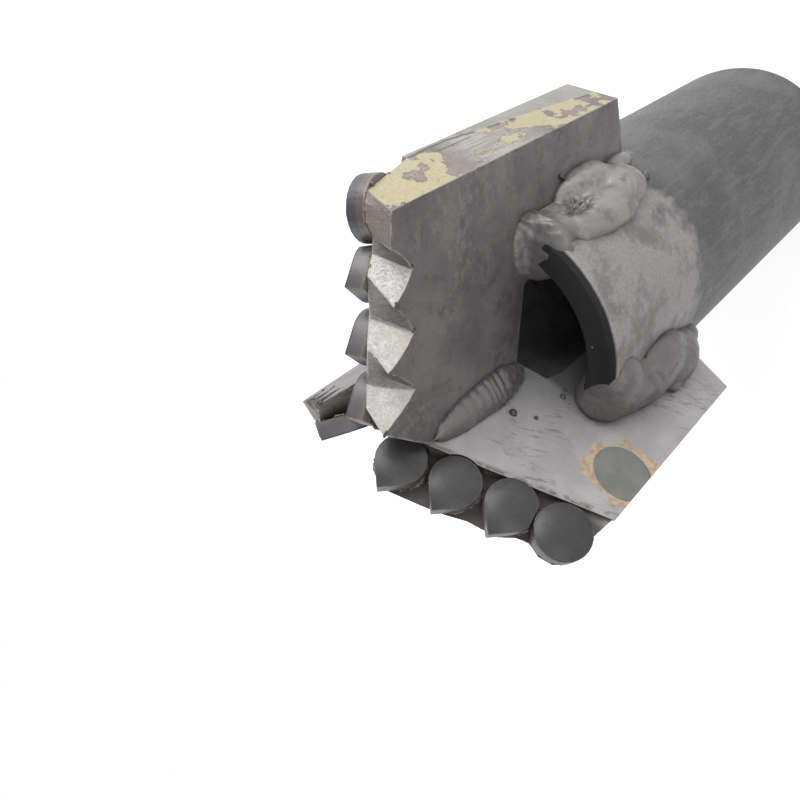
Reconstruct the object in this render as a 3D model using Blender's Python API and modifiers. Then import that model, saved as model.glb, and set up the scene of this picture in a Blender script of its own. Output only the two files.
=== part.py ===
"""Three-wing PDC drag bit: a round steel shank with three welded wings that carry twelve cutters.

The bit stands on the back end of its shank. +Z is its axis and points at the cutting end, and the origin is
the centre of the shank's back face. Lengths are in metres. A wing is modelled in a wing frame, where +X is the
radial direction, +Y the cutting direction (the leading side) and +Z the axis of the bit, and is then turned
about Z into its place. The last wing's front edge is ground lower than the others'.
"""

import math

import bmesh
import bpy
from mathutils import Matrix, Vector

# Clearances and modelling values
CLEARANCE = 0.0003
OVERRUN = 0.010
CROWN_OVERRUN = 0.0005
MERGE_DISTANCE = 0.00005

# Shank
SHANK_DIAMETER = 0.073
SHANK_LENGTH = 0.1523
BORE_WALL = 0.008
SOCKET_WALL = 0.006
SOCKET_DEPTH = 0.048
SOCKET_RUNOUT = 0.004
SHANK_CHAMFER = 0.0015
MOUTH_CHAMFER = 0.0008
ROUND_STEPS = 64

# Wings: plates that stand in slots of the shank
WING_COUNT = 3
FIRST_WING_ANGLE = math.radians(90.0)
GAUGE_RADIUS = 0.0546
WING_THICKNESS = 0.0136
LEADING_OFFSET = 0.0019
GAUGE_BACKOFF = 0.0044
TAIL_DEPTH = 0.047
TAIL_INNER_RADIUS = 0.0200
TAIL_RISE = 0.0045
THROAT_RADIUS = 0.0187
THROAT_RISE = 0.0052
SLOT_END_CLEARANCE = 0.0004

# Front edge of a wing, in its side view. The land behind the gauge cutter is ground round at the front
LAND_ARC_ANGLE = math.radians(120.0)
LAND_ARC_STEPS = 4
LAND_TRAILING_HEIGHT = 0.0366
LAND_TRAILING_WIDTH = 0.0111
LAND_TRAILING_RISE = 0.0036

# Crests and valleys behind the pointed cutters, measured from the tip of each cutter's back
CREST_FLANK_SETBACK = 0.0027
VALLEY_OUT_FIRST = 0.0049
VALLEY_OUT_LAST = 0.0093
VALLEY_DROP = 0.0050
PEAK_IN = 0.0037
PEAK_DROP = 0.0015
NOTCH_OUT = 0.0014
NOTCH_DROP_FIRST = 0.0083
NOTCH_DROP_LAST = 0.0133
INNER_FLANK_ANGLE = math.radians(47.5)
FLANK_HOLLOW = 0.0006
FLANK_STEPS = 4
GRIND_STEPS = 5
LAST_WING_GRIND = 0.0065

# Pocket in the leading face, in which the cutters are brazed. Its depth is that under the second cutter
POCKET_DEPTH = 0.00512
POCKET_DROP = 0.0062
POCKET_LINE_ANGLE = math.radians(24.1)
POCKET_SKEW = math.radians(5.7)
CUTTER_RAKE = math.radians(14.1)

# Cutters, counted from the gauge to the centre. Heights of their seats above the shank's front face
CUTTER_THICKNESS = 0.0046
GAUGE_CUTTER_RADIUS = 0.0069
GAUGE_CUTTER_HEIGHT = 0.0316
NOSE_CUTTER_RADIUS = 0.0064
NOSE_STEP_IN = 0.0123
NOSE_STEP_UP = 0.0037
ROW_STEP_IN = 0.0128
ROW_STEP_UP = 0.0052
NOSE_LEAN = math.radians(6.2)
CUTTER_CHAMFER = 0.00035
ARC_STEPS = 28

# Hard insert that keeps the gauge
INSERT_RADIUS = 0.0073
INSERT_SETBACK = 0.0057
INSERT_HEIGHT = 0.0080
INSERT_THICKNESS = 0.0032

# Weld beads
BEAD_LEG_ON_WING = 0.0065
BEAD_LEG_ON_SHANK = 0.0105
BEAD_BACK_MARGIN = 0.0010
BEAD_FRONT_REACH = 0.0012
BEAD_STATIONS = 19
BEAD_RIPPLE_SHARE = 0.07
BEAD_RIPPLES = 6
BEAD_BULGE_SHARE = 0.62
CENTRE_BEAD_LEG = 0.0062
CENTRE_BEAD_START = 0.0062
CENTRE_BEAD_END = 0.0370
SECTION_STEPS = 6

# Braze plug on the axis
PLUG_RADIUS = 0.00150
PLUG_TOP_HEIGHT = 0.0425
PLUG_STEPS = 12

COLLECTION = "pdc_drag_bit"
CUTTING_BODIES = "cutting_bodies"


def collection(name):
    """Return a new collection linked to the scene."""
    made = bpy.data.collections.new(name)
    bpy.context.scene.collection.children.link(made)
    return made


def material(name, colour, roughness, metallic):
    """Return a plain Principled material."""
    made = bpy.data.materials.new(name)
    made.use_nodes = True
    shader = made.node_tree.nodes["Principled BSDF"]
    shader.inputs["Base Color"].default_value = (*colour, 1.0)
    shader.inputs["Roughness"].default_value = roughness
    shader.inputs["Metallic"].default_value = metallic
    return made


def add_object(name, mesh, where, finish=None):
    """Link a new object for a mesh."""
    made = bpy.data.objects.new(name, mesh)
    where.objects.link(made)
    if finish is not None and not mesh.materials:
        mesh.materials.append(finish)
    return made


def evaluated_mesh(source, name):
    """Return the mesh of an object with its modifiers applied, its caps welded, in world space."""
    bpy.context.view_layer.update()
    graph = bpy.context.evaluated_depsgraph_get()
    mesh = bpy.data.meshes.new_from_object(source.evaluated_get(graph), depsgraph=graph)
    mesh.name = name
    mesh.transform(source.matrix_world)
    work = bmesh.new()
    work.from_mesh(mesh)
    bmesh.ops.remove_doubles(work, verts=work.verts, dist=MERGE_DISTANCE)
    bmesh.ops.recalc_face_normals(work, faces=work.faces)
    work.to_mesh(mesh)
    work.free()
    return mesh


def discard(thing):
    """Remove a helper object."""
    bpy.data.objects.remove(thing, do_unlink=True)


def plate_mesh(name, outline, thickness, placement):
    """Return the mesh of a flat outline, as thick as given and centred on its own plane, put in place."""
    curve = bpy.data.curves.new(name, "CURVE")
    curve.dimensions = "2D"
    curve.fill_mode = "BOTH"
    curve.extrude = thickness / 2
    spline = curve.splines.new("POLY")
    spline.points.add(len(outline) - 1)
    for point, (across, along) in zip(spline.points, outline):
        point.co = (across, along, 0.0, 1.0)
    spline.use_cyclic_u = True
    helper = bpy.data.objects.new(name, curve)
    bpy.context.scene.collection.objects.link(helper)
    helper.matrix_world = placement
    mesh = evaluated_mesh(helper, name)
    discard(helper)
    bpy.data.curves.remove(curve)
    return mesh


def loft_mesh(name, rings):
    """Return the closed mesh through rings of equally many points, with flat ends."""
    work = bmesh.new()
    loops = [[work.verts.new(point) for point in ring] for ring in rings]
    count = len(rings[0])
    for near, far in zip(loops[:-1], loops[1:]):
        for i in range(count):
            j = (i + 1) % count
            work.faces.new((near[i], near[j], far[j], far[i]))
    work.faces.new(list(reversed(loops[0])))
    work.faces.new(loops[-1])
    bmesh.ops.triangulate(work, faces=work.faces)
    bmesh.ops.recalc_face_normals(work, faces=work.faces)
    mesh = bpy.data.meshes.new(name)
    work.to_mesh(mesh)
    work.free()
    return mesh


def cutting_body(name, mesh, where):
    """Add an object that only cuts others."""
    made = add_object(name, mesh, where)
    made.hide_render = True
    made.display_type = "WIRE"
    return made


def cutting_box(name, low, high, where, placement=Matrix.Identity(4)):
    """Add a cutting box between two corners, then put in place."""
    work = bmesh.new()
    bmesh.ops.create_cube(work, size=1.0)
    size = Vector(high) - Vector(low)
    middle = (Vector(high) + Vector(low)) / 2
    bmesh.ops.transform(work, verts=work.verts, matrix=placement @ Matrix.Translation(middle)
                        @ Matrix.Diagonal((*size, 1.0)))
    mesh = bpy.data.meshes.new(name)
    work.to_mesh(mesh)
    work.free()
    return cutting_body(name, mesh, where)


def cut(target, tool):
    """Cut one object with another."""
    modifier = target.modifiers.new("cut " + tool.name, "BOOLEAN")
    modifier.operation = "DIFFERENCE"
    modifier.solver = "EXACT"
    modifier.object = tool


def break_edges(target, width):
    """Chamfer the sharp edges of an object."""
    modifier = target.modifiers.new("edge break", "BEVEL")
    modifier.width = width
    modifier.segments = 1
    modifier.limit_method = "ANGLE"
    modifier.angle_limit = math.radians(40.0)


def smooth(mesh, angle=math.radians(35.0)):
    """Shade a mesh smooth, apart from its sharp edges."""
    mesh.shade_smooth()
    mesh.set_sharp_from_angle(angle=angle)


def wing_turn(index):
    """Return the turn that takes the wing frame to a wing's place."""
    return Matrix.Rotation(FIRST_WING_ANGLE + index * math.tau / WING_COUNT, 4, "Z")


# Heights above the shank's front face are turned into heights in the part's own frame here
def above_shank(height):
    return SHANK_LENGTH + height


def trailing_offset():
    """Return how far the trailing face lies behind the radial plane."""
    return WING_THICKNESS - LEADING_OFFSET


def cutter_place(number):
    """Return the side view place of a cutter's seat: radius and height."""
    place = GAUGE_RADIUS - GAUGE_CUTTER_RADIUS
    height = above_shank(GAUGE_CUTTER_HEIGHT)
    if number == 1:
        return place, height
    steps = number - 2
    return place - NOSE_STEP_IN - steps * ROW_STEP_IN, height + NOSE_STEP_UP + steps * ROW_STEP_UP


def cutter_count():
    """Return how many cutters fit between the gauge and the axis, the gauge cutter with them."""
    room = cutter_place(2)[0] - NOSE_CUTTER_RADIUS
    return 2 + int(room / ROW_STEP_IN)


def pocket_frame():
    """Return the frame of the pocket's floor: X along its foot line, Y forward on the floor, Z out of it.

    Its origin is the seat of the second cutter. The floor sinks towards the front and towards the centre.
    """
    along = Vector((-math.cos(POCKET_LINE_ANGLE), 0.0, math.sin(POCKET_LINE_ANGLE)))
    forward = Vector((math.sin(POCKET_LINE_ANGLE), 0.0, math.cos(POCKET_LINE_ANGLE)))
    outward = Vector((0.0, 1.0, 0.0))
    normal = (outward + forward * math.tan(CUTTER_RAKE) + along * math.tan(POCKET_SKEW)).normalized()
    floor_along = (along - outward * math.tan(POCKET_SKEW)).normalized()
    place, height = cutter_place(2)
    frame = Matrix((floor_along, normal.cross(floor_along), normal)).transposed().to_4x4()
    frame.translation = (place, LEADING_OFFSET - POCKET_DEPTH, height)
    return frame


def floor_offset(place, height):
    """Return how far the pocket's floor lies from the radial plane at a place in the wing's side view."""
    frame = pocket_frame()
    normal = frame.col[2].to_3d()
    seat = frame.translation
    return seat.y - (normal.x * (place - seat.x) + normal.z * (height - seat.z)) / normal.y


def seat_frame(number):
    """Return the frame of a cutter's seat on the floor: Y towards its nose, Z out of the floor."""
    place, height = cutter_place(number)
    normal = pocket_frame().col[2].to_3d()
    axial = Vector((0.0, 0.0, 1.0))
    up = (axial - normal * axial.dot(normal)).normalized()
    nose = up * math.cos(NOSE_LEAN) - up.cross(normal) * math.sin(NOSE_LEAN)
    frame = Matrix((nose.cross(normal), nose, normal)).transposed().to_4x4()
    frame.translation = (place, floor_offset(place, height), height)
    return frame


def back_point(number, across, along):
    """Return the side view place of a point on the back of a cutter, given in its seat's frame."""
    point = seat_frame(number) @ Vector((across, along, 0.0))
    return point.x, point.z


def crest_points(grind):
    """Return the leading and trailing side views of the wing's front edge, from the gauge inwards.

    Behind every pointed cutter the edge rises to a crest, which is ground back towards the trailing face.
    Between two crests lies a valley, where their flanks meet. The leading points lie on the pocket's floor.
    """
    leading = []
    trailing = []
    for step in range(LAND_ARC_STEPS + 1):
        share = step / LAND_ARC_STEPS
        angle = share * LAND_ARC_ANGLE
        place, height = cutter_place(1)
        leading.append((place + GAUGE_CUTTER_RADIUS * math.cos(angle),
                        height + GAUGE_CUTTER_RADIUS * math.sin(angle)))
        trailing.append((GAUGE_RADIUS - share * LAND_TRAILING_WIDTH,
                         above_shank(LAND_TRAILING_HEIGHT) + share * LAND_TRAILING_RISE))
    count = cutter_count()
    for number in range(2, count + 1):
        share = (number - 2) / max(count - 2, 1)
        tip_along = math.sqrt(2.0) * NOSE_CUTTER_RADIUS
        place, height = back_point(number, 0.0, tip_along)
        setback = CREST_FLANK_SETBACK / math.sqrt(2.0)
        valley_out = VALLEY_OUT_FIRST + share * (VALLEY_OUT_LAST - VALLEY_OUT_FIRST)
        notch_drop = NOTCH_DROP_FIRST + share * (NOTCH_DROP_LAST - NOTCH_DROP_FIRST)
        leading.append((place + valley_out, height - VALLEY_DROP))
        trailing.append((place + NOTCH_OUT, height - notch_drop))
        leading.append(back_point(number, -setback, tip_along - setback))
        trailing.append((place - PEAK_IN, height - PEAK_DROP))
    end = -trailing_offset()
    for side in (leading, trailing):
        side.append((end, side[-1][1] - (side[-1][0] - end) * math.tan(INNER_FLANK_ANGLE)))
    return leading, [(place, height - grind) for place, height in trailing]


def finer(points, hollow):
    """Return an edge with more points, its flanks behind the pointed cutters hollowed as a wheel grinds them."""
    made = []
    for index, ((place, height), (next_place, next_height)) in enumerate(zip(points, points[1:])):
        across = Vector((next_height - height, place - next_place)).normalized()
        depth = hollow if LAND_ARC_STEPS <= index < len(points) - 2 else 0.0
        for step in range(FLANK_STEPS):
            share = step / FLANK_STEPS
            sag = across * depth * 4.0 * share * (1.0 - share)
            made.append((place + share * (next_place - place) - sag.x,
                         height + share * (next_height - height) - sag.y))
    made.append(points[-1])
    return made


def crown_cutter(name, grind, where):
    """Add the body that grinds the front edge of a wing: straight to the pocket's floor, then lofted."""
    leading, trailing = crest_points(grind)
    back = -trailing_offset()
    near = []
    floor = []
    far = []
    for (place, height), (trail_place, trail_height) in zip(finer(leading, 0.0), finer(trailing, FLANK_HOLLOW)):
        start = Vector((place, floor_offset(place, height), height))
        line = Vector((trail_place, back, trail_height)) - start
        near.append(Vector((place, LEADING_OFFSET + CROWN_OVERRUN, height)))
        floor.append(start)
        far.append(start + line * (1.0 - CROWN_OVERRUN / line.y))
    between = [[start.lerp(end, step / GRIND_STEPS) for start, end in zip(floor, far)]
               for step in range(1, GRIND_STEPS)]
    top = above_shank(LAND_TRAILING_HEIGHT) + 5 * OVERRUN
    rings = []
    for ring in [near, floor] + between + [far]:
        first = ring[0]
        last = ring[-1]
        rings.append([Vector((first.x + OVERRUN, first.y, first.z))] + ring
                     + [Vector((last.x, last.y, top)), Vector((first.x + OVERRUN, first.y, top))])
    return cutting_body(name, loft_mesh(name, rings), where)


def pocket_cutter(where):
    """Add the body that sinks the pocket into a wing's leading face."""
    reach = GAUGE_RADIUS + 3 * OVERRUN
    return cutting_box("pocket_cutter", (-reach, -POCKET_DROP, 0.0), (reach, reach, 2 * OVERRUN), where,
                       pocket_frame())


def seat_cutter(number, where):
    """Add the body that clears the foot of the pocket's step round a cutter."""
    name = f"seat_cutter_{number}"
    outline = cutter_outline(number, CLEARANCE)
    placement = seat_frame(number) @ Matrix.Translation((0.0, 0.0, OVERRUN))
    return cutting_body(name, plate_mesh(name, outline, 2 * OVERRUN, placement), where)


def gauge_cutter(where):
    """Add the body that backs the gauge edge off towards the trailing face."""
    slope = math.atan2(GAUGE_BACKOFF, WING_THICKNESS)
    corner = Vector((GAUGE_RADIUS, LEADING_OFFSET, 0.0))
    placement = Matrix.Translation(corner) @ Matrix.Rotation(-slope, 4, "Z")
    reach = WING_THICKNESS + 3 * OVERRUN
    top = above_shank(LAND_TRAILING_HEIGHT) + 5 * OVERRUN
    return cutting_box("gauge_cutter", (0.0, -reach, 0.0), (reach, reach, top), where, placement)


def seam_cutter(where):
    """Add the body that cuts a wing's inner end to lie on the leading face of the wing that follows it."""
    turn = Matrix.Rotation(-math.tau / WING_COUNT, 4, "Z")
    top = above_shank(LAND_TRAILING_HEIGHT) + 5 * OVERRUN
    low = (-GAUGE_RADIUS, -GAUGE_RADIUS, 0.0)
    high = (GAUGE_RADIUS, LEADING_OFFSET + CLEARANCE, top)
    return cutting_box("seam_cutter", low, high, where, turn)


def seam_relief(where):
    """Add the body that clears a wing's inner end from the cutters of the wing that it stands on."""
    turn = Matrix.Rotation(-math.tau / WING_COUNT, 4, "Z")
    reach = GAUGE_RADIUS + 3 * OVERRUN
    high = CUTTER_THICKNESS + 2 * CLEARANCE
    low = (-reach, -POCKET_DROP - OVERRUN, 0.0)
    return cutting_box("seam_relief", low, (reach, reach, high), where, turn @ pocket_frame())


def circle(radius):
    """Return the points of a circle."""
    return [(radius * math.cos(math.tau * i / ARC_STEPS), radius * math.sin(math.tau * i / ARC_STEPS))
            for i in range(ARC_STEPS)]


def leading_face_placement(place, height, offset):
    """Return the placement of a flat outline on a wing's leading side: X radial, Y along the axis."""
    axes = Matrix(((1.0, 0.0, 0.0), (0.0, 0.0, -1.0), (0.0, 1.0, 0.0))).to_4x4()
    return Matrix.Translation((place, offset, height)) @ axes


def insert_hole(where):
    """Add the body that bores the seat of the gauge insert."""
    radius = INSERT_RADIUS + CLEARANCE
    depth = INSERT_THICKNESS + CLEARANCE
    middle = LEADING_OFFSET - depth + (depth + OVERRUN) / 2
    placement = leading_face_placement(GAUGE_RADIUS - INSERT_SETBACK, above_shank(INSERT_HEIGHT), middle)
    mesh = plate_mesh("insert_hole", circle(radius), depth + OVERRUN, placement)
    return cutting_body("insert_hole", mesh, where)


def wing_mesh(name, cutting_tools, finish, where):
    """Return the mesh of one wing in the wing frame."""
    tail = above_shank(-TAIL_DEPTH)
    top = above_shank(LAND_TRAILING_HEIGHT) + 3 * OVERRUN
    inner = -trailing_offset()
    shank_radius = SHANK_DIAMETER / 2
    throat_slope = THROAT_RISE / THROAT_RADIUS
    outline = [(TAIL_INNER_RADIUS, tail), (shank_radius, tail), (GAUGE_RADIUS, tail + TAIL_RISE),
               (GAUGE_RADIUS, top), (inner, top), (inner, above_shank(THROAT_RISE - inner * throat_slope)),
               (THROAT_RADIUS, above_shank(0.0)), (TAIL_INNER_RADIUS, above_shank(-THROAT_RISE))]
    middle = LEADING_OFFSET - WING_THICKNESS / 2
    slab = add_object("wing_slab", plate_mesh("wing_slab", outline, WING_THICKNESS,
                                              leading_face_placement(0.0, 0.0, middle)), where, finish)
    for tool in cutting_tools:
        cut(slab, tool)
    mesh = evaluated_mesh(slab, name)
    discard(slab)
    return mesh


def cutter_outline(number, growth):
    """Return the face of a cutter, nose upwards, as seen from the leading side, grown on every side.

    The gauge cutter is a disc. A pointed cutter is a disc with two flanks that touch it and meet at 90
    degrees, and the second cutter is ground flat beside the gauge cutter.
    """
    if number == 1:
        return circle(GAUGE_CUTTER_RADIUS + growth)
    radius = NOSE_CUTTER_RADIUS + growth
    start = math.radians(135.0)
    span = math.radians(270.0)
    points = [(radius * math.cos(start + span * i / ARC_STEPS), radius * math.sin(start + span * i / ARC_STEPS))
              for i in range(ARC_STEPS + 1)]
    points.append((0.0, math.sqrt(2.0) * radius))
    if number > 2:
        return points
    between = seat_frame(2).inverted() @ seat_frame(1).translation
    direction = between.to_2d().normalized()
    distance = between.length - GAUGE_CUTTER_RADIUS - CLEARANCE + growth
    trimmed = []
    for across, along in points:
        excess = max(across * direction.x + along * direction.y - distance, 0.0)
        trimmed.append((across - excess * direction.x, along - excess * direction.y))
    return trimmed


def cutter_mesh(number, finish):
    """Return the mesh of a cutter in the wing frame, seated on the pocket's floor."""
    placement = seat_frame(number) @ Matrix.Translation((0.0, 0.0, CLEARANCE + CUTTER_THICKNESS / 2))
    mesh = plate_mesh("cutter", cutter_outline(number, 0.0), CUTTER_THICKNESS, placement)
    mesh.materials.append(finish)
    return mesh


def insert_mesh(gauge_tool, finish, where):
    """Return the mesh of the gauge insert in the wing frame, flush with the leading face and the gauge."""
    placement = leading_face_placement(GAUGE_RADIUS - INSERT_SETBACK, above_shank(INSERT_HEIGHT),
                                       LEADING_OFFSET - INSERT_THICKNESS / 2)
    disc = add_object("insert_disc", plate_mesh("insert_disc", circle(INSERT_RADIUS), INSERT_THICKNESS, placement),
                      where, finish)
    cut(disc, gauge_tool)
    mesh = evaluated_mesh(disc, "gauge_insert")
    discard(disc)
    return mesh


def bead_size(share, phase):
    """Return how full a bead is at a share of its length: round ends and ripples between them."""
    ends = (1.0 - abs(2.0 * share - 1.0) ** 5) ** 0.5
    ripple = BEAD_RIPPLE_SHARE * math.sin(math.tau * BEAD_RIPPLES * share + phase)
    return 0.30 + 0.70 * ends + ripple * ends


def curve_between(start, middle, end):
    """Return points of a quadratic curve, without its two ends."""
    points = []
    for i in range(1, SECTION_STEPS):
        t = i / SECTION_STEPS
        points.append(start * (1 - t) ** 2 + middle * 2 * t * (1 - t) + end * t ** 2)
    return points


def shank_bead_mesh(side, finish):
    """Return the bead between a wing's face and the shank: side is 1 at the leading face, -1 at the trailing."""
    face = LEADING_OFFSET if side > 0 else -trailing_offset()
    face += side * CLEARANCE
    skin = SHANK_DIAMETER / 2 + CLEARANCE
    corner_angle = math.asin(face / skin)
    low = above_shank(-TAIL_DEPTH) + BEAD_BACK_MARGIN
    high = above_shank(BEAD_FRONT_REACH)
    rings = []
    for station in range(BEAD_STATIONS):
        share = station / (BEAD_STATIONS - 1)
        full = bead_size(share, side)
        height = low + share * (high - low)
        corner = Vector((skin * math.cos(corner_angle), face))
        wing_toe = corner + Vector((BEAD_LEG_ON_WING * full, 0.0))
        spread = BEAD_LEG_ON_SHANK * full / skin
        arc = [Vector((skin * math.cos(corner_angle + side * spread * i / SECTION_STEPS),
                       skin * math.sin(corner_angle + side * spread * i / SECTION_STEPS)))
               for i in range(1, SECTION_STEPS + 1)]
        shank_toe = arc[-1]
        swell = corner + Vector((BEAD_LEG_ON_WING, side * BEAD_LEG_ON_SHANK)) * BEAD_BULGE_SHARE * full
        ring = [corner, wing_toe] + curve_between(wing_toe, swell, shank_toe) + list(reversed(arc))
        rings.append([(point.x, point.y, height) for point in ring])
    mesh = loft_mesh("shank_bead", rings)
    mesh.materials.append(finish)
    smooth(mesh)
    return mesh


def centre_bead_mesh(finish):
    """Return the fillet between a wing's trailing face and the leading face of the wing it stands on."""
    turn = math.tau / WING_COUNT
    face = -trailing_offset() - CLEARANCE
    reach = LEADING_OFFSET + CLEARANCE
    along_next = Vector((math.cos(turn), -math.sin(turn)))
    place = (reach + face * math.cos(math.pi - turn)) / math.sin(turn)
    corner = Vector((place, face))
    rings = []
    for station in range(BEAD_STATIONS):
        share = station / (BEAD_STATIONS - 1)
        full = bead_size(share, 0.0)
        height = above_shank(CENTRE_BEAD_START + share * (CENTRE_BEAD_END - CENTRE_BEAD_START))
        wing_toe = corner + Vector((CENTRE_BEAD_LEG * full, 0.0))
        next_toe = corner + along_next * CENTRE_BEAD_LEG * full
        swell = corner + (wing_toe + next_toe - corner * 2) * BEAD_BULGE_SHARE
        ring = [corner, wing_toe] + curve_between(wing_toe, swell, next_toe) + [next_toe]
        rings.append([(point.x, point.y, height) for point in ring])
    mesh = loft_mesh("centre_bead", rings)
    mesh.materials.append(finish)
    smooth(mesh)
    return mesh


def shank_object(finish, where, tools):
    """Add the shank: a turned tube with a socket at its back and a slot for every wing at its front."""
    outer = SHANK_DIAMETER / 2
    bore = outer - BORE_WALL
    socket = outer - SOCKET_WALL
    front = SHANK_LENGTH
    profile = [(outer - SHANK_CHAMFER, front), (outer, front - SHANK_CHAMFER), (outer, SHANK_CHAMFER),
               (outer - SHANK_CHAMFER, 0.0), (socket + SHANK_CHAMFER, 0.0), (socket, SHANK_CHAMFER),
               (socket, SOCKET_DEPTH), (bore, SOCKET_DEPTH + SOCKET_RUNOUT), (bore, front - MOUTH_CHAMFER),
               (bore + MOUTH_CHAMFER, front)]
    mesh = bpy.data.meshes.new("shank")
    work = bmesh.new()
    points = [work.verts.new((radius, 0.0, height)) for radius, height in profile]
    for near, far in zip(points, points[1:] + points[:1]):
        work.edges.new((near, far))
    work.to_mesh(mesh)
    work.free()
    shank = add_object("shank", mesh, where, finish)
    screw = shank.modifiers.new("turn", "SCREW")
    screw.axis = "Z"
    screw.steps = ROUND_STEPS
    screw.render_steps = ROUND_STEPS
    screw.use_merge_vertices = True
    screw.merge_threshold = MERGE_DISTANCE
    low = (0.0, -trailing_offset() - CLEARANCE, above_shank(-TAIL_DEPTH - SLOT_END_CLEARANCE))
    high = (outer + OVERRUN, LEADING_OFFSET + CLEARANCE, above_shank(OVERRUN))
    for index in range(WING_COUNT):
        cut(shank, cutting_box(f"slot_{index + 1}", low, high, tools, wing_turn(index)))
    return shank


def plug_mesh(finish):
    """Return the braze plug that stands on the axis, between the wings' inner ends."""
    low = above_shank(THROAT_RISE)
    high = above_shank(PLUG_TOP_HEIGHT)
    work = bmesh.new()
    bmesh.ops.create_cone(work, cap_ends=True, segments=PLUG_STEPS, radius1=PLUG_RADIUS, radius2=PLUG_RADIUS,
                          depth=high - low)
    bmesh.ops.translate(work, verts=work.verts, vec=(0.0, 0.0, (high + low) / 2))
    mesh = bpy.data.meshes.new("centre_braze")
    work.to_mesh(mesh)
    work.free()
    mesh.materials.append(finish)
    smooth(mesh)
    return mesh


def build():
    """Build the whole bit."""
    for old in list(bpy.data.objects):
        bpy.data.objects.remove(old, do_unlink=True)
    parts = collection(COLLECTION)
    tools = collection(CUTTING_BODIES)

    shank_steel = material("shank_steel", (0.20, 0.195, 0.19), 0.45, 0.85)
    wing_steel = material("wing_steel", (0.24, 0.235, 0.23), 0.42, 0.9)
    compact = material("diamond_compact", (0.045, 0.047, 0.05), 0.35, 0.3)
    insert = material("gauge_insert", (0.13, 0.14, 0.12), 0.5, 0.4)
    weld = material("weld_metal", (0.22, 0.21, 0.20), 0.4, 0.9)
    braze = material("braze_metal", (0.55, 0.40, 0.18), 0.4, 0.9)

    shank_object(shank_steel, parts, tools)
    gauge_tool = gauge_cutter(tools)
    shared_tools = [gauge_tool, seam_cutter(tools), seam_relief(tools), pocket_cutter(tools), insert_hole(tools)]
    shared_tools += [seat_cutter(number, tools) for number in range(1, cutter_count() + 1)]
    usual_crown = crown_cutter("crown_cutter", 0.0, tools)
    last_crown = crown_cutter("last_crown_cutter", LAST_WING_GRIND, tools)
    usual_wing = wing_mesh("wing", shared_tools + [usual_crown], wing_steel, tools)
    last_wing = wing_mesh("last_wing", shared_tools + [last_crown], wing_steel, tools)
    cutters = [cutter_mesh(number, compact) for number in range(1, cutter_count() + 1)]
    gauge_insert = insert_mesh(gauge_tool, insert, tools)
    beads = {"weld_leading": shank_bead_mesh(1, weld), "weld_trailing": shank_bead_mesh(-1, weld),
             "weld_centre": centre_bead_mesh(weld)}

    for index in range(WING_COUNT):
        turn = wing_turn(index)
        number = index + 1
        wing = last_wing if number == WING_COUNT else usual_wing
        add_object(f"wing_{number}", wing, parts).matrix_world = turn
        for order, mesh in enumerate(cutters, start=1):
            cutter = add_object(f"cutter_{number}_{order}", mesh, parts)
            cutter.matrix_world = turn
            break_edges(cutter, CUTTER_CHAMFER)
        add_object(f"gauge_insert_{number}", gauge_insert, parts).matrix_world = turn
        for name, mesh in beads.items():
            add_object(f"{name}_{number}", mesh, parts).matrix_world = turn
    add_object("centre_braze", plug_mesh(braze), parts)


build()
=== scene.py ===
"""The looks of a three-wing drag bit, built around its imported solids.

The frame is the part's own: metres, +Z along the bit's axis towards the cutting end, the origin at the
centre of the shank's back face. Each wing also has a frame of its own, with X radial, Y towards its leading
side and Z along the axis. Inside the materials, places are in millimetres.
"""

import math
import random

import bmesh
import bpy
from mathutils import Matrix, Vector, noise


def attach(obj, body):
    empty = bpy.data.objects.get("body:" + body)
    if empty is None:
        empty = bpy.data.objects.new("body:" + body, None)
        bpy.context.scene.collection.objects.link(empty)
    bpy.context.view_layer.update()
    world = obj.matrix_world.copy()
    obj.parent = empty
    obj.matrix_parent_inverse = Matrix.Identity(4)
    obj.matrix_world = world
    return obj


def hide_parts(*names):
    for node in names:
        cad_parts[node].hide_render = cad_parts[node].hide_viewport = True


MM = 0.001
TO_MM = 1000.0

# A solid's vertices that lie closer than this are made one, in metres
WELD_DISTANCE = 0.00001
# Faces that turn by less than the first are made one, and edges that turn by more than the second are rounded
FLAT_ANGLE = math.radians(0.4)
SHARP_ANGLE = math.radians(26.0)
SMOOTHING_ROUNDS = 8

# The wings, as the solids have them. The photograph shows little of the far one
WING_ANGLES = {1: math.radians(90.0), 2: math.radians(210.0), 3: math.radians(330.0)}
# The far wing's crown is painted darker than the others', as painted shade
SHADED_FAR_WING = 2

# Lengths from here to the camera are in millimetres, and places in a wing's frame unless said otherwise
SHANK_RADIUS = 36.5
LEADING_FACE = 1.9
TRAILING_FACE = -11.7

# The gauge insert: its centre's radius and height, its own radius, where its gauge side starts, its braze gap
INSERT_PLACE = (48.9, 160.3)
INSERT_RADIUS = 7.3
GAUGE_SIDE = 52.0
SEAT_GAP = 0.31
# The edges of its seat that lie in the gauge face are between these
SEAT_SIDES = (-6.0, 2.0)
SEAT_HEIGHTS = (151.0, 170.0)

# The cutters' seats, from the gauge to the centre, and two ways along the floor that they stand on
SEATS = ((47.7, -2.36, 183.9), (35.4, -3.22, 187.6), (22.6, -4.48, 192.8), (9.8, -5.73, 198.0))
SEAT_OUT = Vector((0.9948, 0.0166, -0.1042))
SEAT_UP = Vector((0.105, -0.261, 0.960))
POCKET_NORMAL = Vector((0.0113, 0.9652, 0.2612))
# The pocket's upper line on the leading face: height + slope * radius = line
POCKET_SLOPE = 0.494
POCKET_LINE = 199.2

# Crests of the ground crown, each with the valley outside it: radius at the front and at the trailing face
CREST_LINES = (((38.0, 32.7), (41.3, 37.8)), ((25.2, 19.9), (30.7, 25.0)), ((12.4, 7.1), (20.1, 12.2)))
CREST_FRONT = -5.0
# The crown lies ahead of this height, and its flanks lie inside this radius
CROWN_BACK = 178.0
LAND_EDGE = 41.0
# The way that its outer flanks are shaded as facing
FLANK_FACING = Vector((0.624, -0.545, 0.560))
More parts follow.
